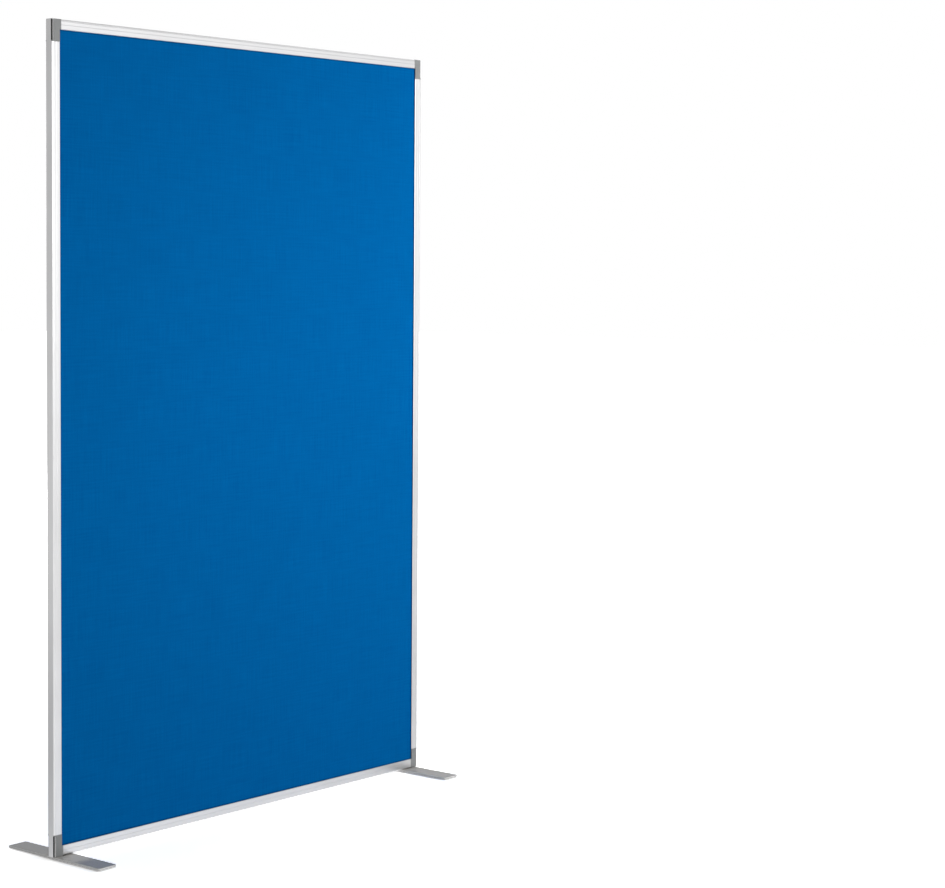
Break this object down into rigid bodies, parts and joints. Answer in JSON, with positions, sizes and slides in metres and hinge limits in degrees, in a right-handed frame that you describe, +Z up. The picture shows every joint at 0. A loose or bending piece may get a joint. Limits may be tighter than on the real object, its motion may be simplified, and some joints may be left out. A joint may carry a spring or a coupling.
{
  "type": "acoustic divider screen",
  "caption": "Free-standing acoustic divider screen: fabric-covered panel in an aluminium frame with grey corner caps, on flat swivelling feet.",
  "frame": {"origin": "on the floor, under the middle of the screen", "axes": "+X along the screen to the right seen from the front, +Y from front to back, +Z up"},
  "size_m": [1.2, 0.3, 1.808],
  "materials": {
    "anodised_aluminium": "satin natural anodised",
    "cap_grey": "satin grey moulding",
    "connector_black": "matt black nylon",
    "zinc_plated_steel": "bright zinc plate",
    "sound_core": "pressed polyester fleece",
    "batten_wood": "sawn softwood",
    "pinboard": "soft fibreboard",
    "blue_fabric": "plain woven, matt",
    "seal_black": "matt foam rubber",
    "foot_silver": "silver-grey paint with a soft gloss",
    "pad_black": "matt"
  },
  "bodies": {
    "frame": {"left_upright": "anodised_aluminium", "right_upright": "anodised_aluminium", "top_rail": "anodised_aluminium", "bottom_rail": "anodised_aluminium", "top_left_cap": "cap_grey", "top_right_cap": "cap_grey", "bottom_left_cap": "cap_grey", "bottom_right_cap": "cap_grey", "top_left_connector": "connector_black", "top_right_connector": "connector_black", "bottom_left_connector": "connector_black", "bottom_right_connector": "connector_black", "connector_screws": "zinc_plated_steel", "sound_core": "sound_core", "left_batten": "batten_wood", "right_batten": "batten_wood", "top_batten": "batten_wood", "bottom_batten": "batten_wood", "front_pinboard": "pinboard", "rear_pinboard": "pinboard", "front_fabric": "blue_fabric", "rear_fabric": "blue_fabric", "left_seal": "seal_black", "right_seal": "seal_black", "top_seal": "seal_black", "bottom_seal": "seal_black", "left_foot_bolt": "zinc_plated_steel", "left_foot_nut": "zinc_plated_steel", "left_foot_washer": "connector_black", "right_foot_bolt": "zinc_plated_steel", "right_foot_nut": "zinc_plated_steel", "right_foot_washer": "connector_black"},
    "left_foot": {"left_foot_plate": "foot_silver", "left_foot_pads": "pad_black"},
    "right_foot": {"right_foot_plate": "foot_silver", "right_foot_pads": "pad_black"}
  },
  "joints": [
    {"name": "left_foot_swivel", "type": "hinge", "parent": "frame", "child": "left_foot", "pos_m": [-0.57, 0, 0.007], "axis": [0, 0, 1], "range_deg": [-90, 90]},
    {"name": "right_foot_swivel", "type": "hinge", "parent": "frame", "child": "right_foot", "pos_m": [0.57, 0, 0.007], "axis": [0, 0, 1], "range_deg": [-90, 90]}
  ]
}
